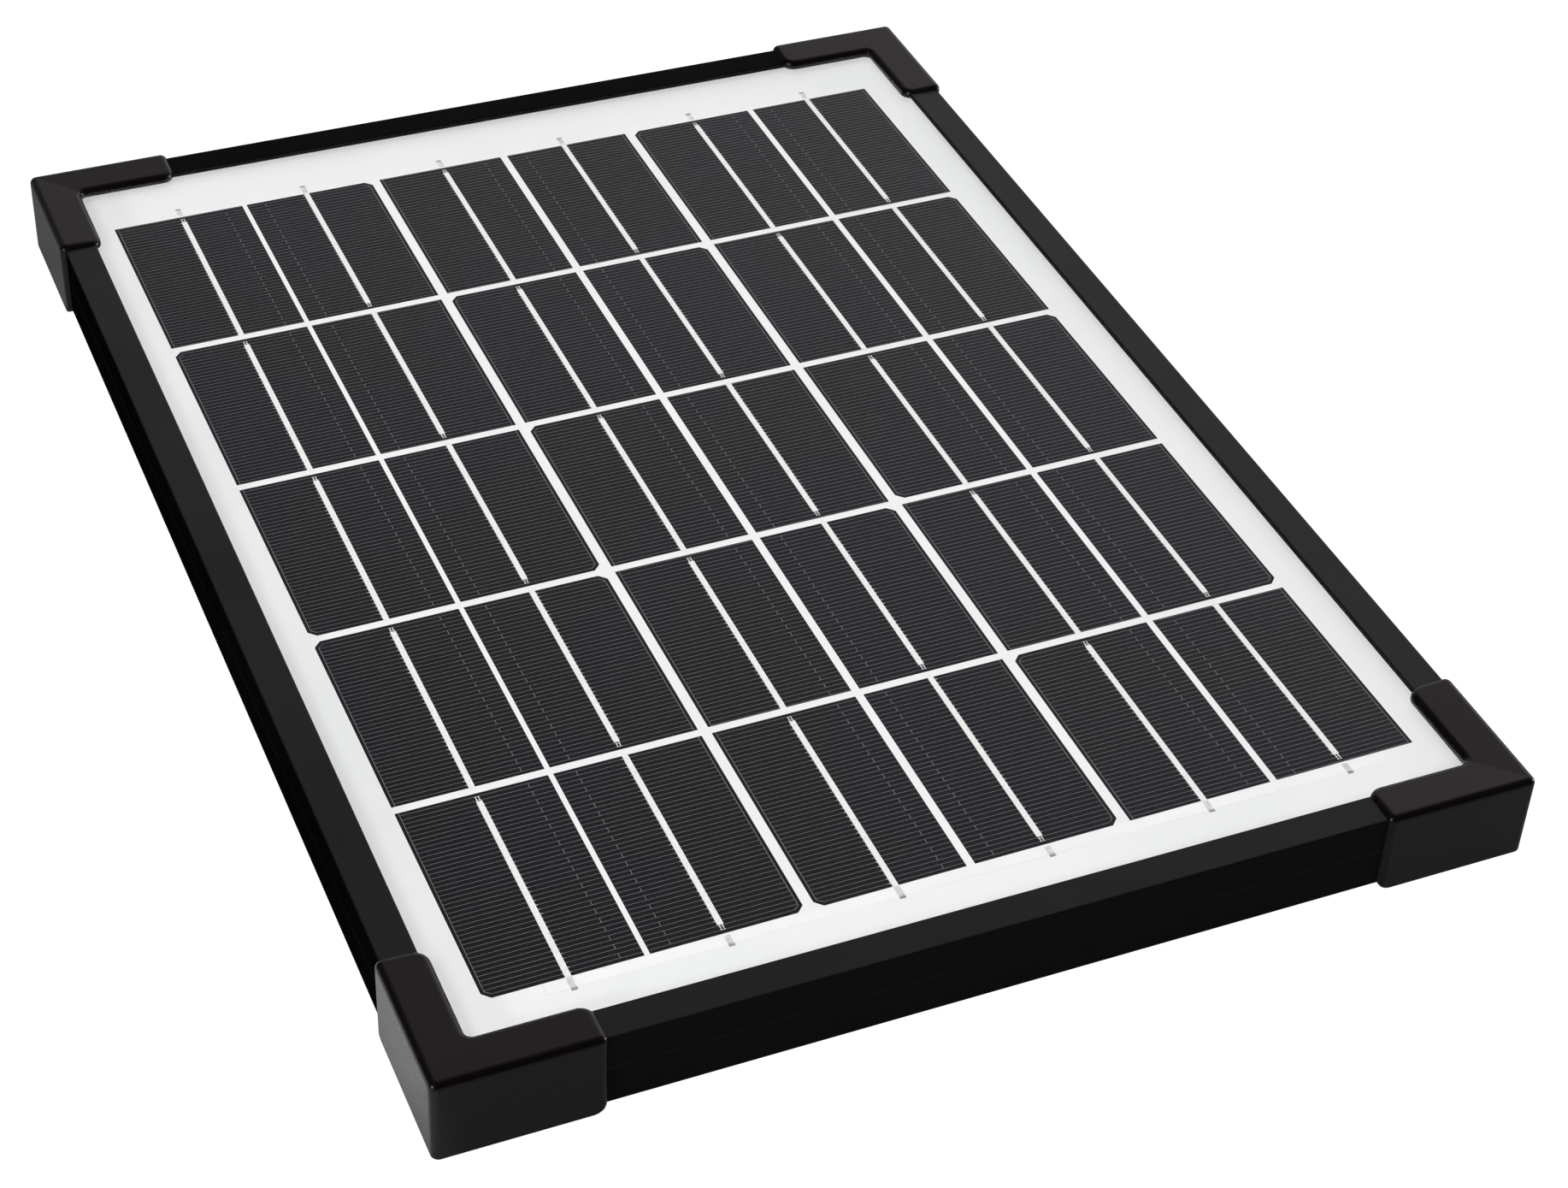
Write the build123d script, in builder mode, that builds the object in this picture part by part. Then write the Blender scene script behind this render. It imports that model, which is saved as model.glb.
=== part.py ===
"""Small framed solar panel: thirty cut cells laminated behind glass, in a mitred aluminium frame with
plastic corner caps, and a junction box on the back.

X runs along the short front side, Y along the long side towards the back, and Z up. The origin is at the
middle of the panel on the surface that its corner caps stand on.
"""

from build123d import *
import os

os.makedirs("parts", exist_ok=True)

# ---------------------------------------------------------------- driving dimensions, mm
# Frame: four mitred rails of one hollow profile
FRAME_W = 229.0
FRAME_L = 315.0
RAIL_H = 17.2
RAIL_WALL = 1.3
RAIL_WEB = 1.2
LIP_W = 7.5
LIP_T = 1.1
LEDGE_T = 1.2
FLANGE_W = 16.0
FLANGE_T = 1.3
GROOVE_H = 0.4
GROOVE_DEPTH = 0.35
GROOVE_Z = 9.0
EDGE_R = 0.35

# Mounting holes in the bottom flanges of the long sides
HOLE_R = 2.5
HOLE_INSET = 11.5
HOLE_SPACING = 160.0

# Corner keys, pressed into the rail chambers
KEY_ARM = 27.0
KEY_TAPER = 0.8

# Corner caps
CAP_WALL = 1.15
CAP_ROOF = 1.1
CAP_FLOOR = 1.5
CAP_ARM = 34.0
CAP_RIM = 1.6
CAP_CORNER_R = 1.6
CAP_INNER_R = 1.6
CAP_TIP_R = 3.2
CAP_HEEL_R = 3.2
CAP_TOP_R = 1.5
CAP_FALL = 0.045
CAP_FOOT_R = 0.6

# Laminate, from the glass down
SEAL_T = 0.2
SEAL_SIDE = 0.4
SEAL_SHOW = 0.25
GLASS_T = 3.2
FRONT_FILM_T = 0.2
RIBBON_T = 0.15
CELL_T = 0.2
BUS_T = 0.2
REAR_FILM_T = 0.2
BACKSHEET_T = 0.3

# Cells: a full wafer is cut in five across and three along, and only its outer columns are used here
WAFER = 158.75
CELL_W = WAFER / 5
CELL_L = WAFER / 3
CELL_CUT = 1.6
ROW_GAP = 1.9
STRING_GAPS = (1.1, 2.2, 1.8, 2.2, 1.5)
ARRAY_SHIFT_Y = -1.0
ARRAY_TURN = 0.4
# One letter for each cell of a row: b has its back outer corner cut, f its front one, and - neither.
# A cell's outer side is its left in strings 1, 3 and 5, and its right in strings 2, 4 and 6.
CUT_CORNERS = ("-b--b-", "b-bb-b", "ffb-fb", "bb-b-f", "ffffb-")

# Ribbons that join the cells, and the wider ones that join the strings
RIBBON_W = 1.25
RIBBON_OFFSET = 0.7
RIBBON_START = 2.4
RIBBON_UNDER = 46.0
TAB = 3.6
TAB_RISE = 1.0
BUS_W = 3.0
BUS_GAP = 0.8
LEAD_GAP = 5.2
LEAD_X = 9.0
STRIP_L = 180.5
STRIP_W = 2.7
STRIP_SHIFT_X = 2.0
STRIP_GAP = 0.3
STRIP_T = 0.1

# Junction box under the back of the panel
BOX_W = 56.0
BOX_L = 46.0
BOX_Y = 114.0
BOX_WALL = 2.0
BOX_FLOOR_T = 1.5
BOX_CORNER_R = 4.0
BOX_PAD_T = 0.6
PAD_INSET = 1.5
BOX_H = 8.5
LID_T = 1.6
LID_RIM_T = 1.2
LID_EDGE_R = 0.7
GASKET_T = 0.8
GASKET_W = 1.2
BOSS_R = 3.0
BOSS_INSET = 4.5
SCREW_R = 1.2
SCREW_HEAD_R = 2.3
SCREW_L = 6.5
RECESS_L = 2.6
RECESS_W = 0.55
RECESS_DEPTH = 0.7
SLOT_W = 28.0
SLOT_L = 4.0
SLOT_INSET = 6.0
CLIP_W = 6.0
CLIP_L = 13.0
CLIP_T = 0.8
CLIP_POST = 1.3
DIODE_R = 1.35
DIODE_L = 5.2

# Cable gland in the box's front wall
CABLE_R = 2.6
GLAND_THREAD_R = 3.4
GLAND_CLEAR = 0.1
GLAND_FLATS = 9.4
GLAND_FLANGE_T = 3.0
GLAND_STUB_L = 6.0
GLAND_TAIL = 1.5
GLAND_SEAL_R = 3.0
GLAND_SEAL_DEPTH = 5.0
NUT_R = 4.7
NUT_L = 9.0
NUT_MOUTH_T = 1.5
NUT_GRIPS = 12
NUT_GRIP_R = 0.5

# ---------------------------------------------------------------- heights worked out from them
CAP_H = CAP_FLOOR + RAIL_H + CAP_ROOF
LIP_UNDER = CAP_FLOOR + RAIL_H - LIP_T
GLASS_TOP = LIP_UNDER - SEAL_T
GLASS_UNDER = GLASS_TOP - GLASS_T
RIBBON_TOP = GLASS_UNDER - FRONT_FILM_T
CELL_TOP = RIBBON_TOP - RIBBON_T
CELL_UNDER = CELL_TOP - CELL_T
RIBBON_UNDERSIDE = CELL_UNDER - RIBBON_T
BUS_UNDER = RIBBON_UNDERSIDE - BUS_T
BACKSHEET_TOP = BUS_UNDER - REAR_FILM_T
BACKSHEET_UNDER = BACKSHEET_TOP - BACKSHEET_T
LEDGE_TOP = BACKSHEET_UNDER - SEAL_T

CHANNEL_H = LIP_UNDER - LEDGE_TOP
CHAMBER_W = LIP_W - RAIL_WALL - RAIL_WEB
CHAMBER_H = LEDGE_TOP - LEDGE_T - CAP_FLOOR - FLANGE_T
LAMINATE_W = FRAME_W - 2 * (RAIL_WALL + SEAL_SIDE)
LAMINATE_L = FRAME_L - 2 * (RAIL_WALL + SEAL_SIDE)

BOX_TOP = BACKSHEET_UNDER - BOX_PAD_T
BOX_CEILING = BOX_TOP - BOX_FLOOR_T
BOX_UNDER = BOX_TOP - BOX_H
GASKET_TOP = BOX_UNDER + GASKET_T
CLIP_TOP = BOX_CEILING - CLIP_POST
GLAND_Z = BACKSHEET_UNDER - GLAND_FLATS / 2 - GLAND_CLEAR

# ---------------------------------------------------------------- places worked out from them
CORNER = (Align.MIN, Align.MIN)
SMALL = 0.01
FIT = 0.05

STRINGS = len(STRING_GAPS) + 1
ROWS = len(CUT_CORNERS)
ARRAY_W = STRINGS * CELL_W + sum(STRING_GAPS)
ARRAY_L = ROWS * CELL_L + (ROWS - 1) * ROW_GAP
ARRAY = Plane(origin=(0, ARRAY_SHIFT_Y, 0)).rotated((0, 0, ARRAY_TURN))
BOX_FRONT = BOX_Y - BOX_L / 2
SLOT_Y = BOX_Y + BOX_L / 2 - SLOT_INSET


def string_x(string):
    """Middle of a string, counted from 0 at the left, in the array's own frame."""
    return -ARRAY_W / 2 + CELL_W / 2 + string * CELL_W + sum(STRING_GAPS[:string])


def row_y(row):
    """Middle of a row, counted from 0 at the back, in the array's own frame."""
    return ARRAY_L / 2 - CELL_L / 2 - row * (CELL_L + ROW_GAP)


def outer_side(string):
    """-1 where a string's cells have their wafer edge on the left, and 1 where it is on the right."""
    return -1 if string % 2 == 0 else 1


def ribbon_x(string):
    """Middle of a string's ribbon, which stands a little off centre, away from the wafer's edge."""
    return string_x(string) - outer_side(string) * RIBBON_OFFSET


def write(piece, name):
    """Labels a finished piece and writes it to its own file."""
    piece.part.label = name
    export_step(piece.part, f"parts/{name}.step")


# ---------------------------------------------------------------- frame
def frame_rail(turn, reach, length):
    """One mitred rail. turn takes the front side to this one, and reach is how far out its outer face is."""
    inward = Vector(0, 1, 0).rotate(Axis.Z, turn)
    along = Vector(1, 0, 0).rotate(Axis.Z, turn)
    foot = inward * -reach + Vector(0, 0, CAP_FLOOR)
    with BuildPart() as rail:
        with BuildSketch(Plane(origin=foot, x_dir=inward, z_dir=along)):
            Rectangle(LIP_W, RAIL_H, align=CORNER)
            Rectangle(FLANGE_W, FLANGE_T, align=CORNER)
            with Locations((RAIL_WALL, FLANGE_T)):
                Rectangle(CHAMBER_W, CHAMBER_H, align=CORNER, mode=Mode.SUBTRACT)
            with Locations((RAIL_WALL, LEDGE_TOP - CAP_FLOOR)):
                Rectangle(LIP_W, CHANNEL_H, align=CORNER, mode=Mode.SUBTRACT)
            with Locations((0, GROOVE_Z)):
                Rectangle(GROOVE_DEPTH, GROOVE_H, align=CORNER, mode=Mode.SUBTRACT)
        extrude(amount=length / 2, both=True)
        edges = rail.edges().filter_by(Axis(foot, along))
        top = edges.group_by(Axis.Z)[-1]
        bottom = edges.group_by(Axis.Z)[0]
        fillet(top + bottom, radius=EDGE_R)
        for end in (-1, 1):
            corner = foot + along * (end * length / 2)
            mitre = Plane(origin=corner, z_dir=along * end + inward)
            split(bisect_by=mitre, keep=Keep.BOTTOM)
        if length > FRAME_W:
            with BuildSketch(Plane.XY.offset(CAP_FLOOR)):
                with Locations(foot + inward * HOLE_INSET):
                    with GridLocations(0, HOLE_SPACING, 1, 2):
                        Circle(HOLE_R)
            extrude(amount=FLANGE_T, mode=Mode.SUBTRACT)
    return rail


def corner_planes(half_w, half_l):
    """A plane at each outer corner of a rectangle, its x and y running along the two sides that meet there."""
    return {
        "front_left": Plane(origin=(-half_w, -half_l, 0), x_dir=(1, 0, 0)),
        "front_right": Plane(origin=(half_w, -half_l, 0), x_dir=(0, 1, 0)),
        "back_right": Plane(origin=(half_w, half_l, 0), x_dir=(-1, 0, 0)),
        "back_left": Plane(origin=(-half_w, half_l, 0), x_dir=(0, -1, 0)),
    }


def angle_points(start, arm, width):
    """Corners of an L that has its outer corner at (start, start) and its arms ending at arm."""
    inner = start + width
    return (start, start), (arm, start), (arm, inner), (inner, inner), (inner, arm), (start, arm)


def reach(corner, item):
    """How far from a corner plane's origin an item lies, along whichever arm it is on."""
    local = corner.to_local_coords(item.center())
    return max(local.X, local.Y)


def corners_within(outline, far, near):
    """A sketch's corners whose larger coordinate lies in the range far and whose smaller one lies in near."""
    return [vertex for vertex in outline.vertices()
            if far[0] - SMALL < max(vertex.X, vertex.Y) < far[1] + SMALL
            and near[0] - SMALL < min(vertex.X, vertex.Y) < near[1] + SMALL]


def corner_key(corner):
    """L-shaped key that fills the rail chambers where they meet."""
    with BuildPart() as key:
        with BuildSketch(corner.offset(CAP_FLOOR + FLANGE_T)):
            Polygon(*angle_points(RAIL_WALL, KEY_ARM, CHAMBER_W), align=None)
        extrude(amount=CHAMBER_H)
        tips = [face for face in key.faces() if reach(corner, face) > KEY_ARM - SMALL]
        chamfer([edge for tip in tips for edge in tip.edges()], length=KEY_TAPER)
    return key


def rim_edges(faces):
    """Edges that only one of the faces has, so not the creases between them."""
    edges = [edge for face in faces for edge in face.edges()]
    return [edge for edge in edges if sum((edge.center() - other.center()).length < SMALL for other in edges) == 1]


def below_slopes(side_views, length):
    """What lies under two gentle slopes that fall inward from a cap's outer sides and meet along its mitre."""
    high = CAP_H + CAP_FALL * CAP_TOP_R
    with BuildPart() as under:
        for side_view in side_views:
            with BuildSketch(side_view):
                Polygon((0, 0), (length, 0), (length, high - CAP_FALL * length), (0, high), align=None)
            extrude(amount=length, both=True)
    return under


def corner_cap(corner):
    """Plastic cap pushed over a corner: a roof, two side walls, a floor and a rim that rests on the glass."""
    width = CAP_WALL + LIP_W + CAP_RIM
    beyond = CAP_ARM + 1
    side_views = (Plane(origin=corner.origin, x_dir=corner.x_dir, z_dir=-corner.y_dir),
                  Plane(origin=corner.origin, x_dir=corner.y_dir, z_dir=corner.x_dir))
    with BuildPart() as cap:
        with BuildSketch(corner) as outline:
            Polygon(*angle_points(0, CAP_ARM, width), align=None)
            fillet(corners_within(outline, (0, CAP_ARM), (0, 0)), radius=CAP_CORNER_R)
            fillet(corners_within(outline, (width, width), (width, width)), radius=CAP_INNER_R)
            fillet(corners_within(outline, (CAP_ARM, CAP_ARM), (width, width)), radius=CAP_TIP_R)
        extrude(amount=CAP_H + CAP_FALL * CAP_TOP_R)
        add(below_slopes(side_views, beyond), mode=Mode.INTERSECT)
        fillet(rim_edges([face for face in cap.faces() if face.normal_at().Z > 0.9]), radius=CAP_TOP_R)
        for side_view in side_views:
            with BuildSketch(side_view):
                Rectangle(beyond, beyond, align=CORNER)
                with BuildSketch(mode=Mode.SUBTRACT) as heel:
                    with Locations((CAP_ARM - CAP_HEEL_R, 0)):
                        Rectangle(CAP_HEEL_R + 1, CAP_HEEL_R, align=CORNER)
                    with Locations((CAP_ARM - CAP_HEEL_R, CAP_HEEL_R)):
                        Circle(CAP_HEEL_R, mode=Mode.SUBTRACT)
            extrude(amount=beyond, both=True, mode=Mode.INTERSECT)
        foot = cap.edges().group_by(Axis.Z)[0]
        fillet([edge for edge in foot if reach(corner, edge) < CAP_ARM - CAP_HEEL_R - SMALL], radius=CAP_FOOT_R)
        with BuildSketch(corner.offset(CAP_FLOOR)):
            with Locations((CAP_WALL, CAP_WALL)):
                Rectangle(beyond, beyond, align=CORNER)
        extrude(amount=GLASS_TOP - CAP_FLOOR, mode=Mode.SUBTRACT)
        with BuildSketch(corner.offset(GLASS_TOP)):
            Polygon(*angle_points(CAP_WALL, beyond, LIP_W), align=None)
        extrude(amount=CAP_FLOOR + RAIL_H - GLASS_TOP, mode=Mode.SUBTRACT)
    return cap


half_w = FRAME_W / 2
half_l = FRAME_L / 2
write(frame_rail(0, half_l, FRAME_W), "frame_rail_front")
write(frame_rail(90, half_w, FRAME_L), "frame_rail_right")
write(frame_rail(180, half_l, FRAME_W), "frame_rail_back")
write(frame_rail(270, half_w, FRAME_L), "frame_rail_left")
for place, corner in corner_planes(half_w, half_l).items():
    write(corner_key(corner), f"corner_key_{place}")
for place, corner in corner_planes(half_w + CAP_WALL, half_l + CAP_WALL).items():
    write(corner_cap(corner), f"corner_cap_{place}")

# ---------------------------------------------------------------- glass, seal and back sheet
with BuildPart() as cover_glass:
    with BuildSketch(Plane.XY.offset(GLASS_UNDER)):
        Rectangle(LAMINATE_W, LAMINATE_L)
    extrude(amount=GLASS_T)
write(cover_glass, "cover_glass")

with BuildPart() as backsheet:
    with BuildSketch(Plane.XY.offset(BACKSHEET_UNDER)):
        Rectangle(LAMINATE_W, LAMINATE_L)
        with Locations((0, SLOT_Y)):
            SlotOverall(SLOT_W, SLOT_L, mode=Mode.SUBTRACT)
    extrude(amount=BACKSHEET_T)
write(backsheet, "backsheet")

with BuildPart() as edge_seal:
    with BuildSketch(Plane.XY.offset(LEDGE_TOP)):
        Rectangle(LAMINATE_W + 2 * SEAL_SIDE, LAMINATE_L + 2 * SEAL_SIDE)
        Rectangle(FRAME_W - 2 * (LIP_W - SEAL_SHOW), FRAME_L - 2 * (LIP_W - SEAL_SHOW), mode=Mode.SUBTRACT)
    extrude(amount=CHANNEL_H)
    with BuildSketch(Plane.XY.offset(BACKSHEET_UNDER)):
        Rectangle(LAMINATE_W, LAMINATE_L)
    extrude(amount=GLASS_TOP - BACKSHEET_UNDER, mode=Mode.SUBTRACT)
write(edge_seal, "edge_seal")


# ---------------------------------------------------------------- cells
def cut_corner(string, letter):
    """Triangle that takes off the corner that a cell shares with its wafer, about the cell's middle."""
    x = outer_side(string) * CELL_W / 2
    y = CELL_L / 2 if letter == "b" else -CELL_L / 2
    inward_x = x - outer_side(string) * CELL_CUT
    inward_y = y - CELL_CUT if letter == "b" else y + CELL_CUT
    return (x, y), (inward_x, y), (x, inward_y)


def solar_cell(string, row):
    """One cut cell where it lies in the array."""
    letter = CUT_CORNERS[row][string]
    with BuildPart() as cell:
        with BuildSketch(ARRAY.offset(CELL_UNDER)):
            with Locations((string_x(string), row_y(row))):
                Rectangle(CELL_W, CELL_L)
                if letter != "-":
                    Polygon(*cut_corner(string, letter), align=None, mode=Mode.SUBTRACT)
        extrude(amount=CELL_T)
    return cell


# ---------------------------------------------------------------- ribbons
def link_profile(edge, way):
    """A ribbon from the front of one cell, over the gap past edge, to the back of the next cell."""
    start = edge - way * (CELL_L - RIBBON_START)
    far = edge + way * ROW_GAP
    end = far + way * RIBBON_UNDER
    return ((start, RIBBON_TOP), (edge, RIBBON_TOP), (far, CELL_UNDER), (end, CELL_UNDER),
            (end, RIBBON_UNDERSIDE), (far, RIBBON_UNDERSIDE), (edge, CELL_TOP), (start, CELL_TOP))


def front_tab_profile(edge, way):
    """A ribbon from the front of a string's last cell to the bus ribbon beyond its edge."""
    start = edge - way * (CELL_L - RIBBON_START)
    end = edge + way * TAB
    bend = end - way * RIBBON_T
    return ((start, RIBBON_TOP), (end, RIBBON_TOP), (end, RIBBON_UNDERSIDE), (bend, RIBBON_UNDERSIDE),
            (bend, CELL_TOP), (start, CELL_TOP))


def back_tab_profile(edge, way):
    """A ribbon from the back of a string's first cell, up past its edge and down to the bus ribbon."""
    start = edge - way * RIBBON_UNDER
    rise = edge + way * TAB_RISE
    end = edge + way * TAB
    bend = end - way * RIBBON_T
    return ((start, CELL_UNDER), (edge, CELL_UNDER), (rise, RIBBON_TOP), (end, RIBBON_TOP),
            (end, RIBBON_UNDERSIDE), (bend, RIBBON_UNDERSIDE), (bend, CELL_TOP), (rise, CELL_TOP),
            (edge, RIBBON_UNDERSIDE), (start, RIBBON_UNDERSIDE))


def string_profiles(string):
    """Every ribbon of a string, seen from its side. way is the direction that its front ribbons run."""
    way = -1 if string % 2 == 0 else 1
    order = range(ROWS) if way < 0 else range(ROWS - 1, -1, -1)
    edges = [row_y(row) + way * CELL_L / 2 for row in order]
    links = [link_profile(edge, way) for edge in edges[:-1]]
    first_edge = edges[0] - way * CELL_L
    return links + [front_tab_profile(edges[-1], way), back_tab_profile(first_edge, -way)]


with BuildPart() as tab_ribbons:
    for string in range(STRINGS):
        middle = ARRAY.from_local_coords((ribbon_x(string), 0, 0))
        side_view = Plane(origin=middle, x_dir=ARRAY.y_dir, z_dir=ARRAY.x_dir)
        for profile in string_profiles(string):
            with BuildSketch(side_view):
                Polygon(*profile, align=None)
            extrude(amount=RIBBON_W / 2, both=True)
write(tab_ribbons, "tab_ribbons")

front_edge = -ARRAY_L / 2
back_edge = ARRAY_L / 2
with BuildPart() as bus_ribbons:
    with BuildSketch(ARRAY.offset(BUS_UNDER)):
        for left in (0, 2, 4):
            span = ribbon_x(left + 1) - ribbon_x(left) + BUS_W
            with Locations((ribbon_x(left) - BUS_W / 2, front_edge - BUS_GAP - BUS_W)):
                Rectangle(span, BUS_W, align=CORNER)
        for left in (1, 3):
            span = ribbon_x(left + 1) - ribbon_x(left) + BUS_W
            with Locations((ribbon_x(left) - BUS_W / 2, back_edge + BUS_GAP)):
                Rectangle(span, BUS_W, align=CORNER)
        for string, side in ((0, -1), (STRINGS - 1, 1)):
            tab_x = ribbon_x(string)
            lead_back = back_edge + LEAD_GAP + BUS_W
            lead_left = min(tab_x, side * LEAD_X) - BUS_W / 2
            with Locations((tab_x, back_edge + BUS_GAP)):
                Rectangle(BUS_W, lead_back - back_edge - BUS_GAP, align=(Align.CENTER, Align.MIN))
            with Locations((lead_left, back_edge + LEAD_GAP)):
                Rectangle(abs(tab_x - side * LEAD_X) + BUS_W, BUS_W, align=CORNER)
            with Locations((side * LEAD_X, SLOT_Y - ARRAY_SHIFT_Y)):
                Rectangle(BUS_W, lead_back - SLOT_Y + ARRAY_SHIFT_Y, align=(Align.CENTER, Align.MIN))
    extrude(amount=BUS_T)
    with BuildSketch(Plane.XY.offset(CLIP_TOP - CLIP_T)):
        with Locations((-LEAD_X, SLOT_Y), (LEAD_X, SLOT_Y)):
            Rectangle(BUS_W, BUS_T, align=(Align.CENTER, Align.MIN))
    extrude(amount=BUS_UNDER + BUS_T - CLIP_TOP + CLIP_T)
write(bus_ribbons, "bus_ribbons")

with BuildPart() as insulation_strip:
    with BuildSketch(ARRAY.offset(CELL_TOP - STRIP_T)):
        with Locations((STRIP_SHIFT_X, front_edge - STRIP_GAP)):
            Rectangle(STRIP_L, STRIP_W, align=(Align.CENTER, Align.MAX))
    extrude(amount=STRIP_T)
    add(tab_ribbons.part, mode=Mode.SUBTRACT)
write(insulation_strip, "insulation_strip")

# ---------------------------------------------------------------- encapsulant, moulded round the cells
cells = [solar_cell(string, row) for row in range(ROWS) for string in range(STRINGS)]
for index, cell in enumerate(cells):
    write(cell, f"cell_row{index // STRINGS + 1}_string{index % STRINGS + 1}")

with BuildPart() as encapsulant_front:
    with BuildSketch(Plane.XY.offset(CELL_TOP)):
        Rectangle(LAMINATE_W, LAMINATE_L)
    extrude(amount=GLASS_UNDER - CELL_TOP)
    add(tab_ribbons.part, mode=Mode.SUBTRACT)
write(encapsulant_front, "encapsulant_front")

with BuildPart() as encapsulant_rear:
    with BuildSketch(Plane.XY.offset(BACKSHEET_TOP)):
        Rectangle(LAMINATE_W, LAMINATE_L)
    extrude(amount=CELL_TOP - BACKSHEET_TOP)
    with BuildSketch(Plane.XY.offset(BACKSHEET_TOP)):
        with Locations((0, SLOT_Y)):
            SlotOverall(SLOT_W, SLOT_L)
    extrude(amount=BUS_UNDER - BACKSHEET_TOP, mode=Mode.SUBTRACT)
    for cell in cells:
        add(cell.part, mode=Mode.SUBTRACT)
    for insert in (tab_ribbons, bus_ribbons, insulation_strip):
        add(insert.part, mode=Mode.SUBTRACT)
write(encapsulant_rear, "encapsulant_rear")

# ---------------------------------------------------------------- junction box
with BuildPart() as box_adhesive:
    with BuildSketch(Plane.XY.offset(BOX_TOP)):
        with Locations((0, BOX_Y)):
            RectangleRounded(BOX_W - 2 * PAD_INSET, BOX_L - 2 * PAD_INSET, BOX_CORNER_R)
        with Locations((0, SLOT_Y)):
            SlotOverall(SLOT_W, SLOT_L, mode=Mode.SUBTRACT)
    extrude(amount=BOX_PAD_T)
write(box_adhesive, "box_adhesive")

cavity_w = BOX_W - 2 * BOX_WALL
cavity_l = BOX_L - 2 * BOX_WALL
cavity_r = BOX_CORNER_R - BOX_WALL
boss_spacing = (BOX_W - 2 * BOSS_INSET, BOX_L - 2 * BOSS_INSET)
gland_plane = Plane(origin=(0, BOX_FRONT, GLAND_Z), x_dir=(1, 0, 0), z_dir=(0, -1, 0))

with BuildPart() as junction_box_base:
    with BuildSketch(Plane.XY.offset(BOX_UNDER)):
        with Locations((0, BOX_Y)):
            RectangleRounded(BOX_W, BOX_L, BOX_CORNER_R)
    extrude(amount=BOX_H)
    with BuildSketch(Plane.XY.offset(BOX_UNDER)):
        with Locations((0, BOX_Y)):
            RectangleRounded(cavity_w, cavity_l, cavity_r)
    extrude(amount=BOX_CEILING - BOX_UNDER, mode=Mode.SUBTRACT)
    with BuildSketch(Plane.XY.offset(BOX_UNDER)):
        with Locations((0, BOX_Y)):
            RectangleRounded(cavity_w + 2 * GASKET_W, cavity_l + 2 * GASKET_W, cavity_r + GASKET_W)
    extrude(amount=GASKET_T, mode=Mode.SUBTRACT)
    with BuildSketch(Plane.XY.offset(GASKET_TOP)):
        with Locations((0, BOX_Y)):
            with GridLocations(*boss_spacing, 2, 2):
                Circle(BOSS_R)
                Circle(SCREW_R + FIT, mode=Mode.SUBTRACT)
    extrude(amount=BOX_CEILING - GASKET_TOP)
    with BuildSketch(Plane.XY.offset(CLIP_TOP)):
        with Locations((-LEAD_X, SLOT_Y - CLIP_L / 2), (LEAD_X, SLOT_Y - CLIP_L / 2)):
            Rectangle(CLIP_W, CLIP_L / 2)
    extrude(amount=CLIP_POST)
    with BuildSketch(Plane.XY.offset(BOX_CEILING)):
        with Locations((0, SLOT_Y)):
            SlotOverall(SLOT_W, SLOT_L)
    extrude(amount=BOX_FLOOR_T, mode=Mode.SUBTRACT)
    with BuildSketch(gland_plane):
        Circle(GLAND_THREAD_R + FIT)
    extrude(amount=-(BOX_WALL + GLAND_TAIL), mode=Mode.SUBTRACT)
write(junction_box_base, "junction_box_base")

with BuildPart() as junction_box_gasket:
    with BuildSketch(Plane.XY.offset(BOX_UNDER)):
        with Locations((0, BOX_Y)):
            RectangleRounded(cavity_w + 2 * GASKET_W, cavity_l + 2 * GASKET_W, cavity_r + GASKET_W)
            RectangleRounded(cavity_w, cavity_l, cavity_r, mode=Mode.SUBTRACT)
    extrude(amount=GASKET_T)
write(junction_box_gasket, "junction_box_gasket")

lid_under = BOX_UNDER - LID_T
lid_face = Plane(origin=(0, BOX_Y, lid_under), x_dir=(1, 0, 0), z_dir=(0, 0, -1))
with BuildPart() as junction_box_lid:
    with BuildSketch(Plane.XY.offset(lid_under)):
        with Locations((0, BOX_Y)):
            RectangleRounded(BOX_W, BOX_L, BOX_CORNER_R)
    extrude(amount=LID_T)
    fillet(junction_box_lid.edges().group_by(Axis.Z)[0], radius=LID_EDGE_R)
    with BuildSketch(Plane.XY.offset(BOX_UNDER)):
        with Locations((0, BOX_Y)):
            RectangleRounded(cavity_w - 2 * FIT, cavity_l - 2 * FIT, cavity_r)
            RectangleRounded(cavity_w - 2 * LID_RIM_T, cavity_l - 2 * LID_RIM_T, cavity_r, mode=Mode.SUBTRACT)
    extrude(amount=GASKET_T)
    with Locations(lid_face):
        with GridLocations(*boss_spacing, 2, 2):
            CounterSinkHole(SCREW_R + FIT, SCREW_HEAD_R, counter_sink_angle=90)
write(junction_box_lid, "junction_box_lid")

with BuildPart() as lid_screws:
    with BuildSketch(lid_face):
        with GridLocations(*boss_spacing, 2, 2):
            Circle(SCREW_HEAD_R)
    extrude(amount=-(SCREW_HEAD_R - SCREW_R), taper=45)
    with BuildSketch(lid_face):
        with GridLocations(*boss_spacing, 2, 2):
            Circle(SCREW_R)
    extrude(amount=-SCREW_L)
    with BuildSketch(lid_face):
        with GridLocations(*boss_spacing, 2, 2):
            Rectangle(RECESS_L, RECESS_W)
            Rectangle(RECESS_W, RECESS_L)
    extrude(amount=-RECESS_DEPTH, mode=Mode.SUBTRACT)
write(lid_screws, "lid_screws")

with BuildPart() as terminal_clips:
    with BuildSketch(Plane.XY.offset(CLIP_TOP - CLIP_T)):
        with Locations((-LEAD_X, SLOT_Y), (LEAD_X, SLOT_Y)):
            Rectangle(CLIP_W, CLIP_L, align=(Align.CENTER, Align.MAX))
    extrude(amount=CLIP_T)
write(terminal_clips, "terminal_clips")

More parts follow.
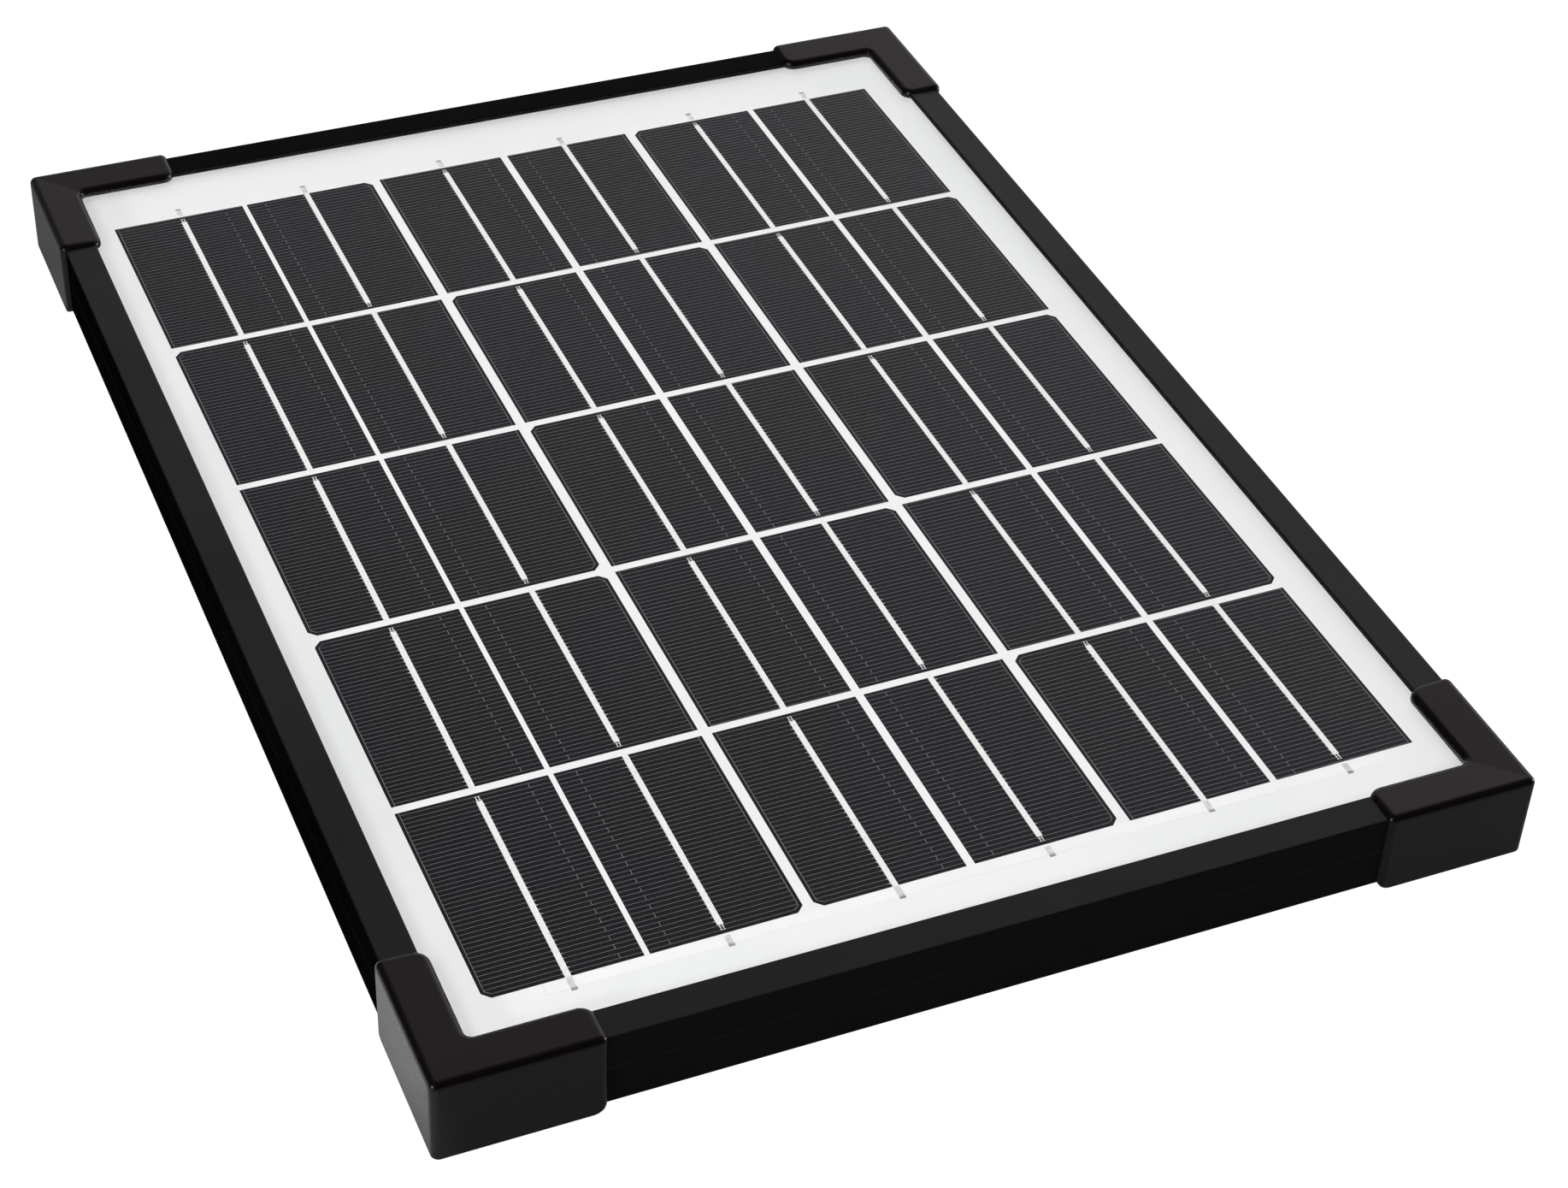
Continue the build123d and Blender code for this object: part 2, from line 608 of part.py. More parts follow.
clip_gap = 2 * LEAD_X - CLIP_W
diode_plane = Plane(origin=(0, SLOT_Y - CLIP_L / 2, CLIP_TOP - CLIP_T / 2), z_dir=(1, 0, 0))
with BuildPart() as bypass_diode:
    with BuildSketch(diode_plane):
        Circle(DIODE_R)
    extrude(amount=DIODE_L / 2, both=True)
    with BuildSketch(diode_plane):
        Circle(CLIP_T / 2)
    extrude(amount=clip_gap / 2, both=True)
write(bypass_diode, "bypass_diode")

# ---------------------------------------------------------------- cable gland
seal_end = GLAND_FLANGE_T + NUT_L - NUT_MOUTH_T
seal_start = GLAND_FLANGE_T + GLAND_STUB_L - GLAND_SEAL_DEPTH
with BuildPart() as cable_gland_body:
    with BuildSketch(gland_plane):
        RegularPolygon(GLAND_FLATS / 2, 6, major_radius=False)
    extrude(amount=GLAND_FLANGE_T)
    with BuildSketch(gland_plane.offset(-BOX_WALL - GLAND_TAIL)):
        Circle(GLAND_THREAD_R)
    extrude(amount=BOX_WALL + GLAND_TAIL + GLAND_FLANGE_T + GLAND_STUB_L)
    with BuildSketch(gland_plane.offset(-BOX_WALL - GLAND_TAIL)):
        Circle(CABLE_R)
    extrude(amount=BOX_WALL + GLAND_TAIL + GLAND_FLANGE_T + GLAND_STUB_L, mode=Mode.SUBTRACT)
    with BuildSketch(gland_plane.offset(seal_start)):
        Circle(GLAND_SEAL_R)
    extrude(amount=GLAND_SEAL_DEPTH, mode=Mode.SUBTRACT)
write(cable_gland_body, "cable_gland_body")

with BuildPart() as cable_gland_seal:
    with BuildSketch(gland_plane.offset(seal_start)):
        Circle(GLAND_SEAL_R)
        Circle(CABLE_R, mode=Mode.SUBTRACT)
    extrude(amount=seal_end - seal_start)
write(cable_gland_seal, "cable_gland_seal")

with BuildPart() as cable_gland_nut:
    with BuildSketch(gland_plane.offset(GLAND_FLANGE_T)):
        Circle(NUT_R)
    extrude(amount=NUT_L)
    fillet(cable_gland_nut.edges().sort_by(Axis.Y)[0], radius=NUT_MOUTH_T)
    with BuildSketch(gland_plane.offset(GLAND_FLANGE_T)):
        with PolarLocations(NUT_R, NUT_GRIPS):
            Circle(NUT_GRIP_R)
    extrude(amount=NUT_L - NUT_MOUTH_T, mode=Mode.SUBTRACT)
    with BuildSketch(gland_plane.offset(GLAND_FLANGE_T)):
        Circle(GLAND_THREAD_R + FIT)
    extrude(amount=NUT_L - NUT_MOUTH_T, mode=Mode.SUBTRACT)
    with BuildSketch(gland_plane.offset(GLAND_FLANGE_T)):
        Circle(CABLE_R)
    extrude(amount=NUT_L, mode=Mode.SUBTRACT)
write(cable_gland_nut, "cable_gland_nut")
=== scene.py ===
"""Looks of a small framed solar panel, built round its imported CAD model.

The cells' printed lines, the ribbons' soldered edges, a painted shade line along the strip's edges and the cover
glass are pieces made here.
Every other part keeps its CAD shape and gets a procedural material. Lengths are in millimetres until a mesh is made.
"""

import math
import random

import bmesh
import bpy
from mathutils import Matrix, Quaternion, Vector


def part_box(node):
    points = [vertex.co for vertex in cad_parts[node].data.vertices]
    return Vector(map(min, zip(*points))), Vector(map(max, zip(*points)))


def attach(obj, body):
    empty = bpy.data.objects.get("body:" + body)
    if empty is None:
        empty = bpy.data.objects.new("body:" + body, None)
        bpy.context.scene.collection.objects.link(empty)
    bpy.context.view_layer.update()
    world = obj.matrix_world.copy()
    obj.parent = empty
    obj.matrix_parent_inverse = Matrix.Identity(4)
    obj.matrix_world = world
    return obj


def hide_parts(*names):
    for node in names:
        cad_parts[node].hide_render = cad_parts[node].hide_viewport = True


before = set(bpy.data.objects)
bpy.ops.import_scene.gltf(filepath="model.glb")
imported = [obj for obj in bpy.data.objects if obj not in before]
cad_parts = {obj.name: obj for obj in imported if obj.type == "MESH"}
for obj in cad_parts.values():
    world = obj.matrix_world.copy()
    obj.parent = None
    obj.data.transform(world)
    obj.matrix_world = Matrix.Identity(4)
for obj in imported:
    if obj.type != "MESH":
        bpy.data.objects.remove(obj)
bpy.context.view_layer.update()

# ---------------------------------------------------------------- driving values, mm and degrees
MM = 0.001

# Camera: where it stands, what it looks at, its roll and its lens
CAMERA_EYE = (-223.4, -533.2, 453.9)
CAMERA_TARGET = (6.41, -31.5, 0.0)
CAMERA_ROLL = 2.926
CAMERA_LENS = 74.59
CAMERA_SENSOR = 36.0

# Cells, each a fifteenth of a wafer. The first row is the one at the back. A row's letters say, from the left, which
# end of a cell has a cut corner: its front (f), its back (b) or neither (-).
STRINGS = 6
CUT_CORNERS = ("-b--b-", "b-bb-b", "ffb-fb", "bb-b-f", "ffffb-")
WAFER = 158.75
CELL_W = WAFER / 5
CELL_L = WAFER / 3
CELL_CUT = 1.6
ROW_GAP = 1.9
ARRAY_L = len(CUT_CORNERS) * (CELL_L + ROW_GAP) - ROW_GAP
ARRAY_SHIFT_Y = -1.0
ARRAY_TURN = 0.4
TURN_COS, TURN_SIN = math.cos(math.radians(ARRAY_TURN)), math.sin(math.radians(ARRAY_TURN))
TAB = 3.6

# Printed lines: fingers across the cell, a border beside the wafer's edge, and a broken line near the cell's cut side
FINGERS = 127
PRINT_MARGIN = 1.0
FINGER_PITCH = (WAFER - 2 * PRINT_MARGIN) / (FINGERS - 1)
FINGER_W = 0.09
FINGER_INSET = 0.05
BORDER_INSET = 0.78
BORDER_W = 0.12
BORDER_BEVEL = 22.5
DASH_INSET = 4.5
DASH_W = 0.12
DASH_SHARE = 0.9
PRINT_LIFT = 0.012

# Ribbons, the spurs where fingers meet them, and the fork with its rungs where a ribbon starts
RIBBON_W = 1.25
RIBBON_OFFSET = 0.7
RIBBON_START = 2.4
FORK_START = 0.95
FORK_SPACING = 0.62
FORK_OVERLAP = 0.3
FORK_W = 0.17
RUNG_SHARES = (0.35, 0.95)
RUNG_OVERHANG = 0.25
RUNG_W = FORK_W * 0.6
SPUR_W = 0.24
SPUR_TIP_W = SPUR_W / 3
SPUR_ROOT = 0.1
SPUR_LONG = 0.55
SPUR_SHORT = 0.2
SPUR_VARIES = (0.5, 1.15)
SOLDER_SEED = 7

# Ribbon ends: how far beyond the cells the cloudy film starts and is full; how far before the end the painted shade
# of the bend starts and is full, and how dark it gets
CLOUD_START = -0.1
CLOUD_FULL = 0.7
FOLD_SHADE_START = 0.9
FOLD_SHADE_FULL = 0.4
FOLD_SHADE = 0.42

# White strip in front of the cells, and the painted shade line along its ends and front edge
STRIP_L = 180.5
STRIP_W = 2.7
STRIP_SHIFT_X = 2.0
STRIP_GAP = 0.3
STRIP_EDGE_W = 0.14

# Glass: its top edges' bevel, its looks, and how far its underside stays above the cells
GLASS_EDGE = 0.4
GLASS_IOR = 1.5
GLASS_COLOUR = (0.985, 0.99, 0.985, 1)
GLASS_ROUGHNESS = 0.06
FILM_GAP = 0.1

# Noise lies mostly between these values, and colours blend between the second pair
NOISE_RANGE = (0.3, 0.7)
BLEND_RANGE = (0.35, 0.65)

# How far up or down a rail's face looks, from 0 to 1: below UPRIGHT it is a side, and above LEVEL a top or bottom
UPRIGHT = 0.5
LEVEL = 0.9

# Room light: bright behind the panel, more so to the right and lower down, and dim everywhere else
ROOM_SLOPE = (0.6, 0.0, -0.5)
ROOM_LEVEL = 0.49
ROOM_DIM = 0.02
ROOM_BEHIND = (0.0, 0.4)
ROOM_COLOUR = (1.0, 0.97, 0.98, 1)

# Floor, in metres, as it shows and as it lights the panel, with a brighter card along the panel's left side
FLOOR_HALF = 6.0
FLOOR_SHADE = 0.16
FLOOR_GLOW = 0.9
FLOOR_ALBEDO = 0.19
CARD_ALBEDO = 0.42
CARD_SIDE = (-0.108, -0.118)
CARD_FADES_BACK = (0.15, -0.05)
CARD_FADES_FRONT = (-0.157, -0.137)
CARD_FRONT_SHARE = 0.4


# ---------------------------------------------------------------- meshes
def piece(name, vertices, faces, material):
    """A mesh piece from points in millimetres, riding on the panel."""
    mesh = bpy.data.meshes.new(name)
    mesh.from_pydata([Vector(point) * MM for point in vertices], [], faces)
    mesh.update()
    mesh.materials.append(material)
    shown = bpy.data.objects.new(name, mesh)
    bpy.context.scene.collection.objects.link(shown)
    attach(shown, "root")


class Print:
    """Flat printed marks, gathered as quads and triangles and placed cell by cell."""

    def __init__(self):
        self.vertices = []
        self.faces = []

    def add(self, place, corners):
        """One flat mark that faces up, from its corners in the frame that place takes them from, in either turn."""
        first = len(self.vertices)
        points = [place(u, v) for u, v in corners]
        turn = sum(a.x * b.y - b.x * a.y for a, b in zip(points, points[1:] + points[:1]))
        self.vertices += points if turn > 0 else points[::-1]
        self.faces.append(tuple(range(first, first + len(points))))

    def line(self, place, start, end, width):
        """A straight line of some width between two points."""
        along = Vector((end[0] - start[0], end[1] - start[1]))
        side = Vector((-along.y, along.x)).normalized() * width / 2
        self.add(place, ((start[0] - side.x, start[1] - side.y), (end[0] - side.x, end[1] - side.y),
                         (end[0] + side.x, end[1] + side.y), (start[0] + side.x, start[1] + side.y)))


# ---------------------------------------------------------------- materials
def new_material(name):
    """An empty node material, with its nodes and links."""
    material = bpy.data.materials.new(name)
    material.use_nodes = True
    nodes, links = material.node_tree.nodes, material.node_tree.links
    nodes.clear()
    return material, nodes, links


def noise(nodes, links, scale, detail=3.0, stretch=(1, 1, 1)):
    """Noise on the object's own coordinates, in metres, drawn out along an axis by a small stretch value."""
    coordinates = nodes.new("ShaderNodeTexCoord")
    mapping = nodes.new("ShaderNodeMapping")
    mapping.inputs["Scale"].default_value = stretch
    texture = nodes.new("ShaderNodeTexNoise")
    texture.inputs["Scale"].default_value = scale
    texture.inputs["Detail"].default_value = detail
    links.new(coordinates.outputs["Object"], mapping.inputs["Vector"])
    links.new(mapping.outputs["Vector"], texture.inputs["Vector"])
    return texture.outputs["Fac"]


def ramp(nodes, links, value, source, low=0.0, high=1.0):
    """Takes a value from a source range to a range of its own, and holds it at both ends."""
    mapped = nodes.new("ShaderNodeMapRange")
    mapped.inputs["From Min"].default_value, mapped.inputs["From Max"].default_value = source
    mapped.inputs["To Min"].default_value = low
    mapped.inputs["To Max"].default_value = high
    links.new(value, mapped.inputs["Value"])
    return mapped.outputs["Result"]


def calculate(nodes, links, operation, *terms, clamp=False):
    """A math node whose terms are numbers or other nodes' outputs."""
    node = nodes.new("ShaderNodeMath")
    node.operation = operation
    node.use_clamp = clamp
    for socket, term in zip(node.inputs, terms):
        if isinstance(term, (int, float)):
            socket.default_value = term
        else:
            links.new(term, socket)
    return node.outputs["Value"]


def reach_along(nodes, links, vector, direction):
    """The dot product of a vector with a direction: how far it reaches along it."""
    node = nodes.new("ShaderNodeVectorMath")
    node.operation = "DOT_PRODUCT"
    node.inputs[1].default_value = direction
    links.new(vector, node.inputs[0])
    return node.outputs["Value"]


def relief_normal(nodes, links, height, strength, depth):
    """A bumped normal, of some depth in mm."""
    relief = nodes.new("ShaderNodeBump")
    relief.inputs["Strength"].default_value = strength
    relief.inputs["Distance"].default_value = depth * MM
    links.new(height, relief.inputs["Height"])
    return relief.outputs["Normal"]


def show(nodes, links, shader):
    """Links a shader to the material's output."""
    output = nodes.new("ShaderNodeOutputMaterial")
    links.new(shader, output.inputs["Surface"])


def blend_colours(nodes, links, value, first, second):
    """Two colours mixed by noise."""
    mixed = nodes.new("ShaderNodeValToRGB")
    for element, position, colour in zip(mixed.color_ramp.elements, BLEND_RANGE, (first, second)):
        element.position = position
        element.color = (*colour, 1)
    links.new(value, mixed.inputs["Fac"])
    return mixed.outputs["Color"]


def surface(name, colours, roughness, patch=60.0, grain=1500.0, bump=0.1, depth=0.02, stretch=(1, 1, 1),
            metallic=0.0, specular=0.5, tint=(1, 1, 1)):
    """A solid material: two colours in soft patches, a roughness range and a fine grain of some depth in mm."""
    material, nodes, links = new_material(name)
    shader = nodes.new("ShaderNodeBsdfPrincipled")
    shader.inputs["Metallic"].default_value = metallic
    shader.inputs["Specular IOR Level"].default_value = specular
    shader.inputs["Specular Tint"].default_value = (*tint, 1)
    patches = noise(nodes, links, patch, 2.0, stretch)
    fine = noise(nodes, links, grain, 4.0, stretch)
    links.new(blend_colours(nodes, links, patches, *colours), shader.inputs["Base Color"])
    links.new(ramp(nodes, links, fine, NOISE_RANGE, *roughness), shader.inputs["Roughness"])
    links.new(relief_normal(nodes, links, fine, bump, depth), shader.inputs["Normal"])
    show(nodes, links, shader.outputs["BSDF"])
    return material


def steepness(nodes, links):
    """How far a face is from upright: 0 on the sides and 1 on faces that look up or down."""
    geometry = nodes.new("ShaderNodeNewGeometry")
    split = nodes.new("ShaderNodeSeparateXYZ")
    links.new(geometry.outputs["Normal"], split.inputs["Vector"])
    height = calculate(nodes, links, "ABSOLUTE", split.outputs["Z"])
    return ramp(nodes, links, height, (UPRIGHT, LEVEL))


def anodised_material(name, colours, roughness, specular, side_specular):
    """Black anodised aluminium: satin on faces that look up or down, and etched quite dull on the sides, whose darker
    colour is painted shade.
    """
    material, nodes, links = new_material(name)
    fine = noise(nodes, links, 2500.0, 4.0)
    patches = noise(nodes, links, 40.0, 2.0)
    colour = blend_colours(nodes, links, patches, *colours)
    # Painted shade: the sides get a darker colour than the tops and bottoms.
    side_shade_colour = blend_colours(nodes, links, patches, (0.002, 0.002, 0.002), (0.003, 0.003, 0.003))
    normal = relief_normal(nodes, links, fine, strength=0.08, depth=0.01)
    satin = nodes.new("ShaderNodeBsdfPrincipled")
    satin.inputs["Specular IOR Level"].default_value = specular
    links.new(colour, satin.inputs["Base Color"])
    links.new(ramp(nodes, links, fine, NOISE_RANGE, *roughness), satin.inputs["Roughness"])
    links.new(normal, satin.inputs["Normal"])
    dull = nodes.new("ShaderNodeBsdfPrincipled")
    dull.inputs["Specular IOR Level"].default_value = side_specular
    dull.inputs["Roughness"].default_value = 0.7
    links.new(side_shade_colour, dull.inputs["Base Color"])
    links.new(normal, dull.inputs["Normal"])
    both = nodes.new("ShaderNodeMixShader")
    links.new(steepness(nodes, links), both.inputs["Fac"])
    links.new(dull.outputs["BSDF"], both.inputs[1])
    links.new(satin.outputs["BSDF"], both.inputs[2])
    show(nodes, links, both.outputs["Shader"])
    return material


def ribbon_material(name):
    """Tinned copper, rough with solder, greyer beyond the cells, where white film has crept over it, and darker near
    its end with painted shade where the tab bends down.
    """
    material, nodes, links = new_material(name)
    shader = nodes.new("ShaderNodeBsdfPrincipled")
    fine = noise(nodes, links, 1800.0, 4.0)
    bright = blend_colours(nodes, links, fine, (0.7, 0.7, 0.69), (0.8, 0.8, 0.79))
    clouded = blend_colours(nodes, links, noise(nodes, links, 700.0, 2.0), (0.5, 0.5, 0.5), (0.68, 0.68, 0.68))
    position = nodes.new("ShaderNodeTexCoord")
    along = reach_along(nodes, links, position.outputs["Object"], (-TURN_SIN, TURN_COS, 0))
    from_middle = calculate(nodes, links, "SUBTRACT", along, ARRAY_SHIFT_Y * MM)
    distance = calculate(nodes, links, "ABSOLUTE", from_middle)
    edge, end = ARRAY_L / 2, ARRAY_L / 2 + TAB
    beyond = ramp(nodes, links, distance, ((edge + CLOUD_START) * MM, (edge + CLOUD_FULL) * MM))
    # Painted shade: the ribbon darkens towards its end, where the tab bends down under the film.
    fold_shade = ramp(nodes, links, distance, ((end - FOLD_SHADE_START) * MM, (end - FOLD_SHADE_FULL) * MM), low=1.0, high=FOLD_SHADE)
    shaded = nodes.new("ShaderNodeMix")
    shaded.data_type = "RGBA"
    shaded.blend_type = "MULTIPLY"
    shaded.inputs["Factor"].default_value = 1.0
    links.new(clouded, shaded.inputs["A"])
    links.new(fold_shade, shaded.inputs["B"])
    colour = nodes.new("ShaderNodeMix")
    colour.data_type = "RGBA"
    links.new(beyond, colour.inputs["Factor"])
    links.new(bright, colour.inputs["A"])
    links.new(shaded.outputs["Result"], colour.inputs["B"])
    links.new(colour.outputs["Result"], shader.inputs["Base Color"])
    links.new(ramp(nodes, links, fine, NOISE_RANGE, low=0.45, high=0.6), shader.inputs["Roughness"])
    links.new(relief_normal(nodes, links, fine, strength=0.3, depth=0.03), shader.inputs["Normal"])
    show(nodes, links, shader.outputs["BSDF"])
    return material


def glass_material(name):
    """Clear glass that bends and mirrors what the eye sees through it, and lets light straight in to the cells."""
    material, nodes, links = new_material(name)
    bends = nodes.new("ShaderNodeBsdfRefraction")
    bends.inputs["Color"].default_value = GLASS_COLOUR
    bends.inputs["Roughness"].default_value = 0.0
    bends.inputs["IOR"].default_value = GLASS_IOR
    mirrors = nodes.new("ShaderNodeBsdfGlossy")
    mirrors.inputs["Roughness"].default_value = GLASS_ROUGHNESS
    fresnel = nodes.new("ShaderNodeFresnel")
    fresnel.inputs["IOR"].default_value = GLASS_IOR
    pane = nodes.new("ShaderNodeMixShader")
    links.new(fresnel.outputs["Fac"], pane.inputs["Fac"])
    links.new(bends.outputs["BSDF"], pane.inputs[1])
    links.new(mirrors.outputs["BSDF"], pane.inputs[2])
    path = nodes.new("ShaderNodeLightPath")
    clear = nodes.new("ShaderNodeBsdfTransparent")
    switch = nodes.new("ShaderNodeMixShader")
    links.new(path.outputs["Is Camera Ray"], switch.inputs["Fac"])
    links.new(clear.outputs["BSDF"], switch.inputs[1])
    links.new(pane.outputs["Shader"], switch.inputs[2])
    show(nodes, links, switch.outputs["Shader"])
    return material


# Painted shade: the back rail gets darker colours than the other rails. The rails are copies of one material whose
# side shine differs to suit how light falls on each side.
satin_black = ((0.0055, 0.0053, 0.0051), (0.0075, 0.0071, 0.0068))
back_rail_shade_black = ((0.0012, 0.0012, 0.0012), (0.002, 0.0019, 0.0018))
anodised_left = anodised_material("left_anodised_aluminium", satin_black, (0.28, 0.36), 0.3, 0.0)
anodised_right = anodised_material("right_anodised_aluminium", satin_black, (0.28, 0.36), 0.3, 0.25)
anodised_front = anodised_material("front_anodised_aluminium", satin_black, (0.28, 0.36), 0.25, 0.2)
anodised_back = anodised_material("back_anodised_aluminium", back_rail_shade_black, (0.5, 0.6), 0.03, 0.25)
moulded_key = surface("moulded_key", ((0.02, 0.02, 0.02), (0.03, 0.03, 0.03)), (0.5, 0.6))
cap_plastic = surface("black_satin_plastic", ((0.0018, 0.0013, 0.0015), (0.0024, 0.0017, 0.0019)), (0.26, 0.32),
                      patch=50.0, grain=4000.0, bump=0.05, depth=0.01, tint=(1.0, 0.88, 0.9))
silicon = surface("cut_silicon", ((0.0036, 0.0032, 0.0042), (0.0034, 0.0033, 0.0075)), (0.4, 0.5),
                  patch=18.0, grain=2500.0, bump=0.05, depth=0.005, specular=0.03)
silver_print = surface("printed_silver", ((0.15, 0.15, 0.15), (0.19, 0.19, 0.187)), (0.5, 0.6), patch=400.0)
solder_print = surface("soldered_silver", ((0.64, 0.64, 0.63), (0.76, 0.76, 0.75)), (0.4, 0.5), patch=600.0)
tinned = ribbon_material("tinned_copper")
white_film = surface("white_encapsulant", ((0.76, 0.765, 0.77), (0.79, 0.79, 0.79)), (0.5, 0.6), patch=25.0,
                     grain=900.0, bump=0.05)
strip_film = surface("white_strip", ((0.79, 0.79, 0.79), (0.82, 0.82, 0.815)), (0.45, 0.55), patch=90.0)
# Painted shade: a greyer film for the thin lines along the strip's ends and front edge.
strip_edge_shade = surface("white_strip_edge", ((0.64, 0.64, 0.64), (0.74, 0.74, 0.735)), (0.45, 0.55), patch=60.0)
back_film = surface("white_back_sheet", ((0.70, 0.70, 0.69), (0.76, 0.76, 0.75)), (0.45, 0.6), patch=30.0,
                    grain=700.0, bump=0.2, depth=0.03)
sealant = surface("black_sealant", ((0.012, 0.012, 0.012), (0.02, 0.02, 0.02)), (0.45, 0.6), patch=200.0)
silicone = surface("white_silicone", ((0.66, 0.66, 0.65), (0.74, 0.74, 0.73)), (0.4, 0.55), patch=120.0)
rubber = surface("black_rubber", ((0.014, 0.014, 0.014), (0.022, 0.022, 0.022)), (0.6, 0.75), patch=200.0)
box_plastic = surface("black_box_plastic", ((0.013, 0.013, 0.013), (0.018, 0.018, 0.0175)), (0.4, 0.5),
                      grain=2200.0, bump=0.25, depth=0.03)
gland_plastic = surface("black_gland_plastic", ((0.012, 0.012, 0.013), (0.017, 0.017, 0.018)), (0.35, 0.45))
brass = surface("brass", ((0.62, 0.42, 0.17), (0.72, 0.5, 0.22)), (0.25, 0.4), metallic=1.0)
steel = surface("zinc_plated_steel", ((0.55, 0.55, 0.56), (0.68, 0.68, 0.68)), (0.25, 0.4), metallic=1.0)
epoxy = surface("black_epoxy", ((0.015, 0.015, 0.015), (0.02, 0.02, 0.02)), (0.3, 0.4))
glass = glass_material("cover_glass_clear")

NODE_MATERIALS = {
    "frame_rail_left": anodised_left, "frame_rail_right": anodised_right,
    "frame_rail_front": anodised_front, "frame_rail_back": anodised_back,
    "corner_key": moulded_key, "corner_cap": cap_plastic, "backsheet": back_film, "edge_seal": sealant,
    "tab_ribbons": tinned, "bus_ribbons": tinned, "insulation_strip": strip_film,
    "cell_row": silicon, "encapsulant_rear": white_film, "box_adhesive": silicone,
    "junction_box_base": box_plastic, "junction_box_lid": box_plastic, "junction_box_gasket": rubber,
    "lid_screws": steel, "terminal_clips": brass, "bypass_diode": epoxy, "cable_gland_body": gland_plastic,
    "cable_gland_nut": gland_plastic, "cable_gland_seal": rubber,
}

for name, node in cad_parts.items():
    for start, material in NODE_MATERIALS.items():
        if name.startswith(start):
            if not node.material_slots:
                node.data.materials.append(None)
            for slot in node.material_slots:
                slot.material = material
            break


# ---------------------------------------------------------------- printed lines on the cells
def cell_place(row, string):
    """Takes a point in a cell's own frame, u towards its outer side and v towards the back, to its place."""
    low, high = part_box(f"cell_row{row + 1}_string{string + 1}")
    middle = (low + high) / 2 / MM
    top = high.z / MM + PRINT_LIFT
    outward = -1 if string % 2 == 0 else 1

    def place(u, v):
        x = u * outward
        return Vector((middle.x + x * TURN_COS - v * TURN_SIN, middle.y + x * TURN_SIN + v * TURN_COS, top))

    return place


def finger_heights(letter):
    """Where fingers cross a cell, from its middle: a wafer's fingers carry on over its three cells."""
    wafer_front = {"f": -CELL_L / 2, "-": -CELL_L * 1.5, "b": -CELL_L * 2.5}[letter]
    heights = [wafer_front + PRINT_MARGIN + FINGER_PITCH * finger for finger in range(FINGERS)]
    return [height for height in heights if abs(height) < CELL_L / 2 - FINGER_W]


def print_cell(marks, place, letter):
    """Fingers, the border line beside the wafer's edge, and the broken line near the cut edge."""
    side = CELL_W / 2 - BORDER_INSET
    bevel = CELL_CUT + BORDER_INSET * math.tan(math.radians(BORDER_BEVEL))
    end = {"f": -1, "-": 0, "b": 1}[letter]
    turn_v = end * (CELL_L / 2 - bevel)
    turn_u = CELL_W / 2 - bevel
    last = end * (CELL_L / 2 - PRINT_MARGIN)
    heights = finger_heights(letter)
    for height in heights:
        at_end = end and abs(height - last) < FINGER_PITCH / 2
        marks.line(place, (-CELL_W / 2 + FINGER_INSET, height), (turn_u if at_end else side, height), FINGER_W)
    if end:
        marks.line(place, (side, -end * CELL_L / 2), (side, turn_v), BORDER_W)
        marks.line(place, (side, turn_v), (turn_u, last), BORDER_W)
    else:
        marks.line(place, (side, -CELL_L / 2), (side, CELL_L / 2), BORDER_W)
    dash_u = -CELL_W / 2 + DASH_INSET
    for height in heights[:-1:2]:
        gap = FINGER_PITCH * (1 - DASH_SHARE) / 2
        marks.line(place, (dash_u, height + gap), (dash_u, height + FINGER_PITCH - gap), DASH_W)


def solder_cell(marks, place, letter, string, chance):
    """The widened finger roots beside a cell's ribbon, and the forked end of its bar where the ribbon starts."""
    middle = -RIBBON_OFFSET
    start_side = 1 if string % 2 == 0 else -1
    start = start_side * (CELL_L / 2 - RIBBON_START)
    favoured = chance.choice((-1, 1))
    for height in finger_heights(letter):
        if start_side * height > start_side * start:
            continue
        for side in (-1, 1):
            length = SPUR_LONG if side == favoured else SPUR_SHORT
            length *= chance.uniform(*SPUR_VARIES)
            root = middle + side * (RIBBON_W / 2 - SPUR_ROOT)
            tip = middle + side * (RIBBON_W / 2 + length)
            marks.add(place, ((root, height - SPUR_W / 2), (tip, height - SPUR_TIP_W / 2),
                              (tip, height + SPUR_TIP_W / 2), (root, height + SPUR_W / 2)))
    fork_end = start_side * (CELL_L / 2 - FORK_START)
    for leg in (-1, 1):
        u = middle + leg * FORK_SPACING / 2
        marks.line(place, (u, start - start_side * FORK_OVERLAP), (u, fork_end), FORK_W)
    for share in RUNG_SHARES:
        v = start + (fork_end - start) * share
        half = FORK_SPACING / 2 + RUNG_OVERHANG
        marks.line(place, (middle - half, v), (middle + half, v), RUNG_W)


def strip_place(x, y):
    """Takes a point in the cell array's own frame to its place just above the insulation strip."""
    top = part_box("insulation_strip")[1].z / MM + PRINT_LIFT
    return Vector((x * TURN_COS - y * TURN_SIN, x * TURN_SIN + y * TURN_COS + ARRAY_SHIFT_Y, top))


chance = random.Random(SOLDER_SEED)
printed, soldered = Print(), Print()
for row, letters in enumerate(CUT_CORNERS):
    for string in range(STRINGS):
        place = cell_place(row, string)
        print_cell(printed, place, letters[string])
        solder_cell(soldered, place, letters[string], string, chance)
# Thin grey lines of painted shade along the strip's ends and front edge.
outline = Print()
strip_back = -ARRAY_L / 2 - STRIP_GAP
strip_left, strip_right = STRIP_SHIFT_X - STRIP_L / 2, STRIP_SHIFT_X + STRIP_L / 2
strip_corners = [(strip_left, strip_back), (strip_left, strip_back - STRIP_W),
                 (strip_right, strip_back - STRIP_W), (strip_right, strip_back)]
for start, end in zip(strip_corners, strip_corners[1:]):
    outline.line(strip_place, start, end, STRIP_EDGE_W)
piece("strip_shade_lines", outline.vertices, outline.faces, strip_edge_shade)
piece("cell_print", printed.vertices, printed.faces, silver_print)
piece("ribbon_roots", soldered.vertices, soldered.faces, solder_print)

